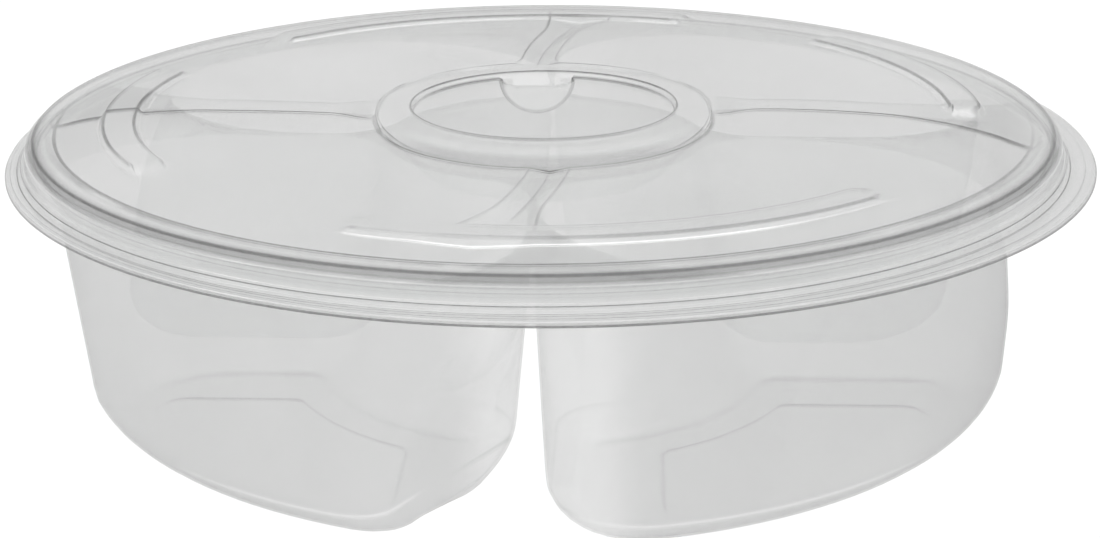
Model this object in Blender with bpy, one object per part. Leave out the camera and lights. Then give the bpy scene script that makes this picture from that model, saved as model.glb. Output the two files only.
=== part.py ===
"""Round four-compartment food tray with a clear press-fit lid.

Two thermoformed sheets of clear plastic, each its own object:
  compartment_tray   flange, snap bead, deck, four deep pockets, shallow middle dish
  snap_lid           lobed dome with a centre ring, stacking ribs, skirt and flange
Both hang from the empty flange_joint, at the height of the flange.

Units are metres and +Z is up.  The world origin is the centre of the round flange,
on the plane the pocket floors rest on.  Heights of both sheets are measured from
the flange joint.  Angles are in degrees from the front (-Y), positive towards +X.
"""
import bpy
import math
from mathutils import Vector
from mathutils.geometry import delaunay_2d_cdt

# ---------------------------------------------------------------- both sheets
R = 0.150                 # tray flange radius
SHEET = 0.0005            # sheet thickness
FLANGE_Z = 0.0668         # height of the flange joint over the resting plane
AXIS_X = -0.0019          # dome, bead and pockets sit off the flange centre, which
                          # makes the lip wider on +X
SEGMENTS = 72             # around both pieces
CREASE_ANGLE = 50.0       # edges bent more than this are shaded sharp

# plain-coloured inputs shared by both plastics
CLEAR_PLASTIC = {
    "Roughness": 0.06,
    "Metallic": 0.0,
    "IOR": 1.57,
    "Transmission Weight": 1.0,
    "Alpha": 0.35,
}
TRAY_COLOUR = (0.90, 0.93, 0.93, 1.0)
LID_COLOUR = (0.93, 0.95, 0.95, 1.0)

# ------------------------------------------------------- tray rim and dish, metres
TRAY_TURN = -2.3          # angle of the front land between two pockets, where the
                          # segments of the bead, flange and dish start too
DECK_Z = 0.0010           # land between the pockets
FLOOR_Z = -FLANGE_Z + SHEET
BEAD_TOP = 0.0052         # crest of the snap bead
TRAY_FLANGE_TOP = 0.0001

# radius, height: from the deck's edge over the bead to the flange
BEAD_PROFILE = (
    (0.1382, DECK_Z), (0.1387, 0.0042), (0.1393, BEAD_TOP), (0.1404, BEAD_TOP),
    (0.1412, 0.0044), (0.1418, 0.0010), (0.1426, TRAY_FLANGE_TOP),
)
DISH_Z = -0.0078
DISH_SEGMENTS = SEGMENTS // 2
# radius as a fraction of R, share of the rise from dish floor to deck
DISH_PROFILE = ((0.215, 0.0), (0.236, 0.18), (0.2575, 0.65), (0.273, 0.92), (0.285, 1.0))

# ----------------------------------------------------- pockets, fractions of R
# Loops from the deck down to the floor panel: height, outer arc radius, inner arc
# radius, gap from side wall to dividing line, outer corner radius of the
# front-right and back-left pockets, the same of the other two, inner corner radius
POCKET_LOOPS = (
    (DECK_Z / R, 0.9165, 0.3000, 0.0050, 0.360, 0.264, 0.130),
    (0.0042, 0.9110, 0.3060, 0.0065, 0.355, 0.262, 0.128),
    (-0.0060, 0.9070, 0.3130, 0.0080, 0.350, 0.260, 0.125),
    (-0.1200, 0.8960, 0.3300, 0.0095, 0.285, 0.254, 0.122),
    (-0.3613, 0.8704, 0.3611, 0.0325, 0.150, 0.240, 0.115),
    (-0.4035, 0.8591, 0.3724, 0.0438, 0.139, 0.229, 0.104),
    (-0.4325, 0.8300, 0.4010, 0.0730, 0.110, 0.200, 0.077),
    (-0.4430, 0.7930, 0.4400, 0.1180, 0.080, 0.160, 0.050),
    (FLOOR_Z / R, 0.7600, 0.5000, 0.2300, 0.045, 0.050, 0.030),
)
# steps along each part of a pocket's outline
OUTER_ARC_STEPS = 8
OUTER_CORNER_STEPS = 4
SIDE_STEPS = 2
INNER_CORNER_STEPS = 3
INNER_ARC_STEPS = 4

# ----------------------------------------------------- lid dome, fractions of R
RING_IN = 0.2500          # inner edge of the centre ring's flat land
RING_OUT = 0.3010         # outer edge of that land
RING_WALL = 0.008         # width of the wall inside the land
RING_TOP = 0.0712
RECESS_Z = 0.0600         # panel inside the ring

MOAT_SIDE = 0.325         # the moat's outer radius at the sides
MOAT_FRONT_EXTRA = 0.068  # what the front and the back add to it
MOAT_BACK_EXTRA = 0.045
MOAT_POWER = 1.7          # how fast that extra reach fades towards the sides
MOAT_DEPTH = 0.0180       # where the moat is at least MOAT_FULL_WIDTH wide
MOAT_FULL_WIDTH = 0.060
MOAT_LEAST = 0.35         # smallest share of that depth
MOAT_FALL = 0.62          # share of the width where the inner wall ends
MOAT_RISE = 0.74          # share of the width where the outer wall starts

LOBE_OUT = 0.907          # the lobes' outer radius
LOBE_EDGE_Z = 0.0595
LOBE_CROWN = 0.0072       # rise of a lobe over its edge
LOBE_POWER = 2.6          # higher gives a flatter crown

SWEEP_HOLD = 0.30         # inside this radius the columns turn no further
SWEEP_IN = 0.33           # the valleys turn between these two radii
SWEEP_OUT = 0.86
SWEEP_FROM = 3.0          # the front valley's angle at SWEEP_IN
SWEEP_BY = -11.4          # its turn on the way to SWEEP_OUT
# radius, half width
VALLEY_HALF = ((0.33, 0.075), (0.42, 0.052), (0.62, 0.052), (0.74, 0.070),
               (0.84, 0.105), (0.90, 0.150))
# radius, height
VALLEY_FLOOR = ((0.33, 0.0510), (0.48, 0.0545), (0.70, 0.0560), (0.86, 0.0590),
                (LOBE_OUT, 0.0593))

RIB_R = 0.783             # stacking ribs' centre line
RIB_HALF = 0.036          # how far a rib's round end is set back from its span
RIB_FLAT = 0.027          # half width of the flat top
RIB_SLOPE = 0.011         # width of the slope beside it
RIB_CLEAR = 0.041         # distance to the rings just outside the slopes
RIB_TOP = 0.0745
RIBS = ((10.0, 33.5), (109.0, 24.0), (191.0, 35.0), (-84.0, 27.0))  # middle, half span

# half-round finger slot at the back of the recess
SLOT_X = -0.013
SLOT_R = 0.073
SLOT_Y = 0.203            # full depth from here to the ring
SLOT_RAMP = 0.006         # length of the ramp in front of it

INNER_RINGS = (0.09, 0.165, 0.198, 0.206, 0.222, RING_IN - RING_WALL, RING_IN, RING_OUT)
MOAT_RINGS = (MOAT_FALL, 0.80, 1.0)      # shares of the moat's width
LOBE_RINGS = (0.450, 0.600, RIB_R - RIB_CLEAR, RIB_R - RIB_FLAT,
              RIB_R + RIB_FLAT, RIB_R + RIB_CLEAR, 0.870, LOBE_OUT)

# ------------------------------------------------------- lid skirt, metres
LID_FLANGE_TOP = 0.0009
LID_FLANGE_R = 0.1495
# radius, height: from the lobes down to the flange
LID_SKIRT = (
    (0.1376, 0.0089), (0.1406, 0.0086), (0.1414, 0.0080), (0.1417, 0.0071),
    (0.1427, 0.0064), (0.1432, 0.0029), (0.1439, 0.0022), (0.1450, LID_FLANGE_TOP),
)


# -------------------------------------------------------------------- helpers
def smooth(t):
    t = min(1.0, max(0.0, t))
    return t * t * (3.0 - 2.0 * t)


def lerp(a, b, t):
    return a + (b - a) * t


def along(knots, r):
    """Value at radius r on a table of (radius, value) joined by straight lines."""
    if r <= knots[0][0]:
        return knots[0][1]
    for (r0, value0), (r1, value1) in zip(knots, knots[1:]):
        if r <= r1:
            return lerp(value0, value1, (r - r0) / (r1 - r0))
    return knots[-1][1]


def turn_point(r, angle, centre_x=0.0):
    """Point at radius r and an angle from the front."""
    a = math.radians(angle)
    return centre_x + r * math.sin(a), -r * math.cos(a)


def columns(count, turn=0.0):
    """Evenly spaced angles around the tray."""
    return [turn + 360.0 * k / count for k in range(count)]


def add_ring(verts, r, z, angles, centre_x=AXIS_X):
    """Add a level ring of vertices and return the index of its first."""
    start = len(verts)
    verts.extend((*turn_point(r, angle, centre_x), z) for angle in angles)
    return start


def ring_faces(faces, inner, outer, count):
    """Quads facing up between two loops, given by their first vertices."""
    for k in range(count):
        j = (k + 1) % count
        faces.append((inner + k, outer + k, outer + j, inner + j))


def join_rings(faces, starts, count):
    """Join rings listed from the inside out."""
    for inner, outer in zip(starts, starts[1:]):
        ring_faces(faces, inner, outer, count)


def clear_plastic(name, colour):
    material = bpy.data.materials.new(name)
    material.use_nodes = True
    inputs = material.node_tree.nodes["Principled BSDF"].inputs
    inputs["Base Color"].default_value = colour
    for key, value in CLEAR_PLASTIC.items():
        inputs[key].default_value = value
    return material


def sheet_object(name, verts, faces, colour, parent):
    """One sheet: a surface thickened downwards, smooth with sharp creases."""
    mesh = bpy.data.meshes.new(name)
    mesh.from_pydata(verts, [], faces)
    mesh.validate()
    obj = bpy.data.objects.new(name, mesh)
    bpy.context.scene.collection.objects.link(obj)
    mesh.shade_smooth()
    mesh.set_sharp_from_angle(angle=math.radians(CREASE_ANGLE))
    solid = obj.modifiers.new("sheet", 'SOLIDIFY')
    solid.thickness = SHEET
    solid.offset = -1.0
    solid.use_rim = True
    solid.use_even_offset = True
    mesh.materials.append(clear_plastic(name, colour))
    obj.parent = parent


# ------------------------------------------------------------------------ lid
def sweep(r):
    """Angle of the front valley at radius r."""
    held = min(SWEEP_OUT, max(SWEEP_HOLD, r))
    return SWEEP_FROM + SWEEP_BY * (held - SWEEP_IN) / (SWEEP_OUT - SWEEP_IN)


def moat_radius(angle):
    """Where the lobes start: the moat is widest in front and narrow at the sides."""
    c = math.cos(math.radians(angle))
    extra = MOAT_FRONT_EXTRA if c > 0 else MOAT_BACK_EXTRA
    return MOAT_SIDE + extra * abs(c) ** MOAT_POWER


def lobe_height(r, angle, edge):
    """Pillowed lobes from radius edge outwards, parted by four valleys."""
    t = min(1.0, max(0.0, (r - edge) / (LOBE_OUT - edge)))
    lobe = LOBE_EDGE_Z + LOBE_CROWN * (1.0 - abs(2.0 * t - 1.0) ** LOBE_POWER)
    from_valley = abs((angle - sweep(r) + 45.0) % 90.0 - 45.0)
    side = r * math.sin(math.radians(from_valley))
    floor = along(VALLEY_FLOOR, r)
    return lerp(floor, max(floor, lobe), min(1.0, side / along(VALLEY_HALF, r)))


def outer_height(r, angle):
    """Moat, as deep as its width allows, and the lobes beyond it."""
    edge = moat_radius(angle)
    width = edge - RING_OUT
    share = min(1.0, (r - RING_OUT) / width)
    bottom = RING_TOP - MOAT_DEPTH * min(1.0, max(MOAT_LEAST, width / MOAT_FULL_WIDTH))
    inner_wall = lerp(RING_TOP, bottom, smooth(share / MOAT_FALL))
    rise = smooth((share - MOAT_RISE) / (1.0 - MOAT_RISE))
    return lerp(inner_wall, lobe_height(r, angle, edge), rise)


def with_ribs(z, r, angle):
    """Raise height z to the stacking ribs, level across the valleys."""
    for middle, half_span in RIBS:
        off = abs((angle - middle + 180.0) % 360.0 - 180.0)
        past_end = max(0.0, math.radians(off - half_span) * RIB_R + RIB_HALF)
        distance = math.hypot(r - RIB_R, past_end)
        z = lerp(z, max(z, RIB_TOP), 1.0 - smooth((distance - RIB_FLAT) / RIB_SLOPE))
    return z


def slot_depth(r, angle):
    x, y = turn_point(r, angle)
    across = (x - SLOT_X) / SLOT_R
    if abs(across) >= 1.0 or r >= RING_IN:
        return 0.0
    depth = SLOT_R * math.sqrt(1.0 - across * across)
    return depth * smooth((y - SLOT_Y + SLOT_RAMP) / SLOT_RAMP)


def lid_top(r, angle):
    """Height of the dome's top, in fractions of R."""
    if r <= RING_OUT:
        z = along(((RING_IN - RING_WALL, RECESS_Z), (RING_IN, RING_TOP)), r)
    else:
        z = outer_height(r, angle)
    return with_ribs(z, r, angle) - slot_depth(r, angle)


def add_dome(verts):
    """Add the dome's rings, whose columns turn with the valleys."""
    rings = [(r, None) for r in INNER_RINGS]
    rings += [(None, share) for share in MOAT_RINGS]
    rings += [(r, None) for r in LOBE_RINGS]
    starts = []
    for fixed, share in rings:
        starts.append(len(verts))
        for angle in columns(SEGMENTS, sweep(fixed or SWEEP_IN)):
            r = fixed or lerp(RING_OUT, moat_radius(angle), share)
            x, y = turn_point(r * R, angle, AXIS_X)
            verts.append((x, y, lid_top(r, angle) * R))
    return starts


def build_lid(parent):
    verts = [(AXIS_X, 0.0, lid_top(0.0, 0.0) * R)]
    starts = add_dome(verts)
    angles = columns(SEGMENTS, sweep(SWEEP_OUT))
    starts += [add_ring(verts, r, z, angles) for r, z in LID_SKIRT]
    starts.append(add_ring(verts, LID_FLANGE_R, LID_FLANGE_TOP, angles, centre_x=0.0))
    faces = [(0, starts[0] + k, starts[0] + (k + 1) % SEGMENTS) for k in range(SEGMENTS)]
    join_rings(faces, starts, SEGMENTS)
    sheet_object("snap_lid", verts, faces, LID_COLOUR, parent)


# ----------------------------------------------------------------------- tray
def pocket_outline(outer_r, inner_r, gap, outer_corner, inner_corner):
    """Closed outline of one pocket, in R, its middle direction along +x.

    The straight sides run at distance gap from the lines at +-45 degrees.
    """
    diagonal = math.radians(45.0)

    def local(run, off):
        # run along the +45 degree line, off away from it towards the middle
        return (run * math.cos(diagonal) + off * math.sin(diagonal),
                run * math.sin(diagonal) - off * math.cos(diagonal))

    def corner_point(run, radius, a):
        return local(run + radius * math.cos(a), gap + radius + radius * math.sin(a))

    def arc_point(radius, a):
        return radius * math.cos(a), radius * math.sin(a)

    # where the corners' centres lie along the line, and their angles from it
    outer_run = math.sqrt((outer_r - outer_corner) ** 2 - (gap + outer_corner) ** 2)
    inner_run = math.sqrt((inner_r + inner_corner) ** 2 - (gap + inner_corner) ** 2)
    outer_a = math.atan2(gap + outer_corner, outer_run)
    inner_a = math.atan2(gap + inner_corner, inner_run)

    half = []              # from the middle of the outer arc to that of the inner
    for k in range(OUTER_ARC_STEPS // 2):
        half.append(arc_point(outer_r, (diagonal - outer_a) * (k / (OUTER_ARC_STEPS / 2.0))))
    for k in range(OUTER_CORNER_STEPS):
        a = lerp(outer_a, -math.pi / 2.0, k / OUTER_CORNER_STEPS)
        half.append(corner_point(outer_run, outer_corner, a))
    for k in range(SIDE_STEPS):
        half.append(local(lerp(outer_run, inner_run, k / SIDE_STEPS), gap))
    for k in range(INNER_CORNER_STEPS):
        a = lerp(-math.pi / 2.0, -math.pi + inner_a, k / INNER_CORNER_STEPS)
        half.append(corner_point(inner_run, inner_corner, a))
    for k in range(INNER_ARC_STEPS // 2 + 1):
        a = (diagonal - inner_a) * (1.0 - k / (INNER_ARC_STEPS / 2.0))
        half.append(arc_point(inner_r, a))
    return half + [(x, -y) for x, y in reversed(half[1:-1])]


def add_pocket(verts, faces, quarter):
    """Add one pocket and return its loop on the deck; quarter 0 is front right."""
    # direction of the pocket's middle, measured from +x
    middle = math.radians(TRAY_TURN + 45.0 + 90.0 * quarter - 90.0)
    c, s = math.cos(middle), math.sin(middle)
    starts = []
    for z, outer_r, inner_r, gap, even_corner, odd_corner, inner_corner in POCKET_LOOPS:
        outer_corner = odd_corner if quarter % 2 else even_corner
        points = pocket_outline(outer_r, inner_r, gap, outer_corner, inner_corner)
        starts.append(len(verts))
        for x, y in points:
            verts.append((AXIS_X + R * (x * c - y * s), R * (x * s + y * c), z * R))
    count = len(points)
    for outer, inner in zip(starts, starts[1:]):
        ring_faces(faces, inner, outer, count)
    faces.append(tuple(range(starts[-1], starts[-1] + count)))
    return list(range(starts[0], starts[0] + count))


def add_dish(verts, faces):
    """Add the middle dish and return its loop on the deck."""
    angles = columns(DISH_SEGMENTS, TRAY_TURN)
    starts = [add_ring(verts, r * R, lerp(DISH_Z, DECK_Z, share), angles)
              for r, share in DISH_PROFILE]
    faces.append(tuple(range(starts[0], starts[0] + DISH_SEGMENTS)))
    join_rings(faces, starts, DISH_SEGMENTS)
    return list(range(starts[-1], starts[-1] + DISH_SEGMENTS))


def add_rim(verts, faces):
    """Add the bead and flange and return their loop on the deck."""
    angles = columns(SEGMENTS, TRAY_TURN)
    starts = [add_ring(verts, r, z, angles) for r, z in BEAD_PROFILE]
    starts.append(add_ring(verts, R, TRAY_FLANGE_TOP, angles, centre_x=0.0))
    join_rings(faces, starts, SEGMENTS)
    return list(range(starts[0], starts[0] + SEGMENTS))


def inside(x, y, verts, loop):
    """Whether a point lies inside a loop of vertices, seen from above."""
    hit = False
    for start, end in zip(loop, loop[1:] + loop[:1]):
        x0, y0 = verts[start][:2]
        x1, y1 = verts[end][:2]
        if (y0 > y) != (y1 > y) and x < x0 + (x1 - x0) * (y - y0) / (y1 - y0):
            hit = not hit
    return hit


def add_deck(verts, faces, rim, holes):
    """Fill the flat land left between the rim loop and the hole loops."""
    loops = [rim] + holes
    ids = [i for loop in loops for i in loop]
    edges = []
    first = 0
    for loop in loops:
        count = len(loop)
        edges += [(first + k, first + (k + 1) % count) for k in range(count)]
        first += count
    flat = [Vector(verts[i][:2]) for i in ids]
    points, _, triangles, sources, *_ = delaunay_2d_cdt(flat, edges, [], 0, 1e-7)
    for face in triangles:
        x = sum(points[i].x for i in face) / len(face)
        y = sum(points[i].y for i in face) / len(face)
        if inside(x, y, verts, rim) and not any(inside(x, y, verts, h) for h in holes):
            faces.append(tuple(ids[sources[i][0]] for i in face))


def build_tray(parent):
    verts, faces = [], []
    holes = [add_pocket(verts, faces, quarter) for quarter in range(4)]
    holes.append(add_dish(verts, faces))
    rim = add_rim(verts, faces)
    add_deck(verts, faces, rim, holes)
    sheet_object("compartment_tray", verts, faces, TRAY_COLOUR, parent)


def build():
    for obj in list(bpy.data.objects):
        bpy.data.objects.remove(obj, do_unlink=True)
    joint = bpy.data.objects.new("flange_joint", None)
    joint.location = (0.0, 0.0, FLANGE_Z)
    bpy.context.scene.collection.objects.link(joint)
    build_tray(joint)
    build_lid(joint)


build()
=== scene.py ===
"""Round compartment tray and its press-fit lid, both of clear thermoformed sheet.

Metres, +Z up.  The front is -Y and the right is +X; angles round the lid start at
the front and grow towards the right.  The tray stands on z = 0, and the two flanges
meet at FLANGE_Z.  Each piece is one fine sheet given its thickness by a modifier.
Two point attributes drive the plastic: one paints dark lines of shade on ridges
(above 0) and painted highlights in creases (below 0); the other scales how much
light the sheet takes, partly real sheet gauge and partly painted shade and highlight.
"""
import math

import bpy
import numpy as np
from mathutils import Matrix, Vector
from mathutils.geometry import delaunay_2d_cdt


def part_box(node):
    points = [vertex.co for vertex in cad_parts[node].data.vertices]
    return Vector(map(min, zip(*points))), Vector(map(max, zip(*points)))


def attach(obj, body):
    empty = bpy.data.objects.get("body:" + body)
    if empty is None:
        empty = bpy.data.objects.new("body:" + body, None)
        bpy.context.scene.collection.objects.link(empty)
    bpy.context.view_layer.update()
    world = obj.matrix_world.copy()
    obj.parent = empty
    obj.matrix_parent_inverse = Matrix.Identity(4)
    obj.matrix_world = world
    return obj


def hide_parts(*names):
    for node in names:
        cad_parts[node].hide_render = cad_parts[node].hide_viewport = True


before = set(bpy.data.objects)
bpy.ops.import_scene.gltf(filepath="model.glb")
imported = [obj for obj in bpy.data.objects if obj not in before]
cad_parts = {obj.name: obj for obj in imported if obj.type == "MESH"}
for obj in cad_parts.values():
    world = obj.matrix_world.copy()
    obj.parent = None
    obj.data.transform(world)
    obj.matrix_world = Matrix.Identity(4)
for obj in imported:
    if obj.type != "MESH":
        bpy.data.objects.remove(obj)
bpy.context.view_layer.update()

# ---------------------------------------------------------------- dimensions
R = 0.150                   # outer radius of the tray flange
SHEET = 0.0005
AXIS_X = -0.0019            # middle of everything inside the flanges
# heights over the flange joint
BEAD_TOP = 0.0052
DECK_Z = 0.0010
TRAY_FLANGE_TOP = 0.0001
LID_FLANGE_TOP = 0.0009
LID_FLANGE_R = 0.1495
_, tray_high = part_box("compartment_tray")
FLANGE_Z = tray_high[2] - BEAD_TOP


# -------------------------------------------------------------------- helpers
def smooth(part):
    part = np.clip(part, 0.0, 1.0)
    return part * part * (3.0 - 2.0 * part)


def soft_ramp(part):
    """0 to 1 in a straight line with a small rounding at both ends."""
    ease = 0.06
    part = np.clip(part, 0.0, 1.0)
    low = np.where(part < ease, part * part / (2 * ease), part - ease / 2)
    high = (1 - ease) - (1 - part) ** 2 / (2 * ease)
    return np.where(part > 1 - ease, high, low) / (1 - ease)


def lerp(start, end, part):
    return start + (end - start) * part


def bezier(start, pull, end, part):
    """Smooth curve from start to end, pulled towards pull."""
    return start * (1 - part) ** 2 + pull * 2 * part * (1 - part) + end * part * part


def wrap(degrees):
    """The same angle between -180 and 180."""
    return (degrees + 180.0) % 360.0 - 180.0


def curve_through(x, knots):
    """Monotone smooth interpolation through (x, y) knots."""
    knot_x, knot_y = np.array(knots).T
    step = np.diff(knot_x)
    slope = np.diff(knot_y) / step
    tangent = np.zeros(len(knot_x))
    for i in range(1, len(knot_x) - 1):
        if slope[i - 1] * slope[i] > 0:
            before, after = 2 * step[i] + step[i - 1], step[i] + 2 * step[i - 1]
            tangent[i] = (before + after) / (before / slope[i - 1] + after / slope[i])
    tangent[0], tangent[-1] = slope[0], slope[-1]
    x = np.clip(x, knot_x[0], knot_x[-1])
    i = np.clip(np.searchsorted(knot_x, x) - 1, 0, len(step) - 1)
    t = (x - knot_x[i]) / step[i]
    return ((1 + 2 * t) * (1 - t) ** 2 * knot_y[i] + t * (1 - t) ** 2 * step[i] * tangent[i]
            + t * t * (3 - 2 * t) * knot_y[i + 1] + t * t * (t - 1) * step[i] * tangent[i + 1])


def rounded(points, steps):
    """Polyline with its corners rounded: points are (radius, z, corner radius)."""
    outline = [points[0][:2]]
    for before, corner, after in zip(points, points[1:], points[2:]):
        middle = Vector(corner[:2])
        back, ahead = Vector(before[:2]) - middle, Vector(after[:2]) - middle
        longest = 0.48 * back.length, 0.48 * ahead.length
        back.normalize()
        ahead.normalize()
        angle = math.acos(max(-1.0, min(1.0, back.dot(ahead))))
        cut = 0.0
        if angle < math.pi - 0.01:
            cut = min(corner[2] / math.tan(angle / 2.0), *longest)
        if cut < 1e-7:
            outline.append((middle.x, middle.y))
            continue
        start, end = middle + back * cut, middle + ahead * cut
        for k in range(steps + 1):
            point = bezier(start, middle, end, k / steps)
            outline.append((point.x, point.y))
    outline.append(points[-1][:2])
    return outline


def spread(*runs):
    """Even steps through (start, end, count) runs, with the last end."""
    values = []
    for start, end, count in runs:
        values += [start + (end - start) * k / count for k in range(count)]
    return values + [runs[-1][1]]


def circle(radius, angle, height, axis=AXIS_X):
    """Ring of points; angles in radians from the front."""
    x = axis + radius * np.sin(angle)
    return np.stack([x, -radius * np.cos(angle), np.broadcast_to(height, x.shape)], 1)


def ring_faces(first, second, count):
    """Quads between two rings, given by their first vertices."""
    k = np.arange(count)
    j = (k + 1) % count
    return np.stack([first + k, second + k, second + j, first + j], 1)


def as_tuples(face_arrays):
    return [tuple(int(i) for i in face) for face in np.concatenate(face_arrays)]


def turn_rate(before, here, after, normal):
    """Signed turning per metre of the path through three points."""
    arrive, leave = here - before, after - here
    arrive_length = np.maximum(np.linalg.norm(arrive, axis=-1), 1e-6)
    leave_length = np.maximum(np.linalg.norm(leave, axis=-1), 1e-6)
    cosine = np.clip((arrive * leave).sum(-1) / (arrive_length * leave_length), -1.0, 1.0)
    change = arrive / arrive_length[..., None] - leave / leave_length[..., None]
    sign = np.sign((change * normal).sum(-1))
    return sign * np.arccos(cosine) / (0.5 * (arrive_length + leave_length))


def turning(grid, across=True):
    """How tightly a grid of rings turns at each point: 1 at a ridge, -1 in a crease.

    Zero at the grid's ends.  across=False leaves out the turning along the rings.
    """
    along = np.roll(grid, -1, 1) - np.roll(grid, 1, 1)
    outward = np.empty_like(grid)
    outward[1:-1] = grid[2:] - grid[:-2]
    outward[0], outward[-1] = outward[1], outward[-2]
    normal = np.cross(outward, along)
    normal /= np.maximum(np.linalg.norm(normal, axis=-1, keepdims=True), 1e-12)
    value = np.zeros(grid.shape[:2])
    value[1:-1] = turn_rate(grid[:-2], grid[1:-1], grid[2:], normal[1:-1])
    if across:
        side = turn_rate(np.roll(grid, 1, 1), grid, np.roll(grid, -1, 1), normal)
        side[0] = side[-1] = 0.0
        value = np.where(np.abs(side) > np.abs(value), side, value)
    # turning starts to count at 260 radians per metre and is full 1300 above that
    return np.sign(value) * smooth((np.abs(value) - 260.0) / 1300.0)


def make_sheet(name, points, faces, bend, gauge_and_painted_light, material):
    mesh = bpy.data.meshes.new(name)
    mesh.from_pydata([tuple(point) for point in points], [], faces)
    for label, values in (("bend", bend), ("gauge_and_painted_light", gauge_and_painted_light)):
        attribute = mesh.attributes.new(label, 'FLOAT', 'POINT')
        attribute.data.foreach_set("value", np.asarray(values, dtype=np.float32))
    mesh.validate()
    obj = bpy.data.objects.new(name, mesh)
    bpy.context.scene.collection.objects.link(obj)
    mesh.shade_smooth()
    solid = obj.modifiers.new("sheet", 'SOLIDIFY')
    solid.thickness = SHEET
    solid.offset = -1.0
    solid.use_rim = True
    solid.use_even_offset = True
    mesh.materials.append(material)
    return obj


# ------------------------------------------------------------------ lid shape
# The top is in fractions of R: radii from the axis, heights over the flange joint.
RIBS = ((10.0, 33.5), (109.0, 24.0), (191.0, 35.0), (-84.0, 27.0))   # middle, half span; degrees
RIB_R, RIB_HALF, RIB_TOP = 0.783, 0.036, 0.0745
RIB_ZONE = (0.735, 0.84)          # radii that hold the ribs
RECESS_R, RECESS_Z = 0.2432, 0.0600
LAND_R, LAND_Z = 0.3010, 0.0706   # outer edge of the centre ring's flat land
LOBE_OUT = 0.8976
# half-round scoop at the back of the recess
SCOOP_X, SCOOP_FRONT, SCOOP_RADIUS, SCOOP_BACK = -0.013, 0.188, 0.071, RECESS_R
SCOOP_WALL = 0.0004               # radial depth of its back wall
MARK = 7.0                        # the column that follows a valley's edge, degrees

RING = ((0.0, RECESS_Z), (0.20, RECESS_Z), (RECESS_R, RECESS_Z), (0.2438, 0.0603),
        (0.2484, 0.0710), (0.2500, 0.0715), (0.2995, 0.0711),
        (LAND_R, LAND_Z), (1.0, LAND_Z))                              # radius, height
VALLEY_FLOOR = ((0.0, 0.0500), (0.33, 0.0510), (0.48, 0.0545), (0.70, 0.0560),
                (0.86, 0.0590), (0.907, 0.0593), (1.0, 0.0593))       # radius, height
VALLEY_HALF = ((0.0, 0.070), (0.33, 0.062), (0.40, 0.034), (0.62, 0.036),
               (0.74, 0.062), (0.84, 0.110), (0.90, 0.160), (1.0, 0.19))  # radius, half width

# radius and height in metres, corner rounding, painted dark line (above 0) or painted highlight
# (below 0) at the corner, thickness (which also paints shade)
SKIRT = (
    (0.13600, 0.00891, 0.0, 0.0, 1.0), (0.13700, 0.00880, 0.0004, 0.1, 1.0),
    (0.13790, 0.00868, 0.0003, -0.15, 1.0), (0.13930, 0.00860, 0.0003, 0.0, 1.8),
    (0.14050, 0.00852, 0.0013, 0.62, 3.0), (0.14145, 0.00720, 0.0004, 0.25, 3.0),
    (0.14262, 0.00640, 0.0004, -0.7, 1.2), (0.14295, 0.00400, 0.0003, 0.6, 1.5),
    (0.14315, 0.00275, 0.0003, -0.6, 1.0), (0.14395, 0.00235, 0.0003, 0.9, 1.0),
    (0.14420, 0.00150, 0.0002, -0.5, 1.0), (0.14500, LID_FLANGE_TOP, 0.0003, 0.8, 1.0),
    (0.14560, LID_FLANGE_TOP, 0.0, 0.0, 1.0))
# share of the way from the skirt to the flange's edge, painted dark line (above 0) or painted
# highlight (below 0)
LID_FLANGE = ((0.30, 0.0), (0.50, 0.0), (0.56, 0.6), (0.62, 0.0), (0.90, 0.0), (1.0, -0.6))


def moat_radius(degrees):
    """Where the lobes start: the moat is widest in front and narrow at the sides."""
    cosine = np.cos(np.radians(degrees))
    widening = np.where(cosine > 0, 0.080, 0.050)
    return 0.314 + widening * np.abs(cosine) ** 1.7


def sweep(radius, base):
    """Turn of the column at angle base; the left valley sweeps less than the others."""
    full = 3.0 - 11.4 * (np.clip(radius, 0.30, 0.86) - 0.33) / 0.53
    left = smooth(1.0 - np.abs(wrap(base + 90.0)) / 60.0)
    return full * (1.0 - 0.70 * left)


def column_angle(radius, base):
    """True angle of a column, and its angle from the middle of the nearest valley.

    MARK degrees off a valley it runs along the valley's edge.
    """
    off = (base + 45.0) % 90.0 - 45.0
    width = curve_through(radius, VALLEY_HALF) / np.maximum(radius, 0.15)
    edge = np.degrees(np.arcsin(np.clip(width, 0.0, 0.6)))
    # towards the centre and the skirt the columns even out again
    even = np.clip(smooth((0.33 - radius) / 0.12) + smooth((radius - 0.905) / 0.01), 0.0, 1.0)
    edge = lerp(edge, MARK, even)
    size = np.abs(off)
    beyond = edge + (size - MARK) / (45.0 - MARK) * (45.0 - edge)
    moved = np.sign(off) * np.where(size < MARK, size / MARK * edge, beyond)
    angle = base - off + moved + sweep(radius, base)
    # the columns bunch up at both ends of the scoop's round wall
    reach = SCOOP_RADIUS / SCOOP_BACK
    ends = math.degrees(math.asin(reach))
    turn = wrap(angle - 180.0 + math.degrees(math.asin(SCOOP_X / SCOOP_BACK)))
    quarter = np.radians(np.clip(turn / ends, -1.0, 1.0) * 90.0)
    bunched = lerp(turn, np.degrees(np.arcsin(reach * np.sin(quarter))), 0.85)
    near = ((np.abs(turn) < ends) * smooth(radius / 0.10)
            * (1.0 - smooth((radius - 0.2535) / 0.045)))
    return angle + (bunched - turn) * near, moved


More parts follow.
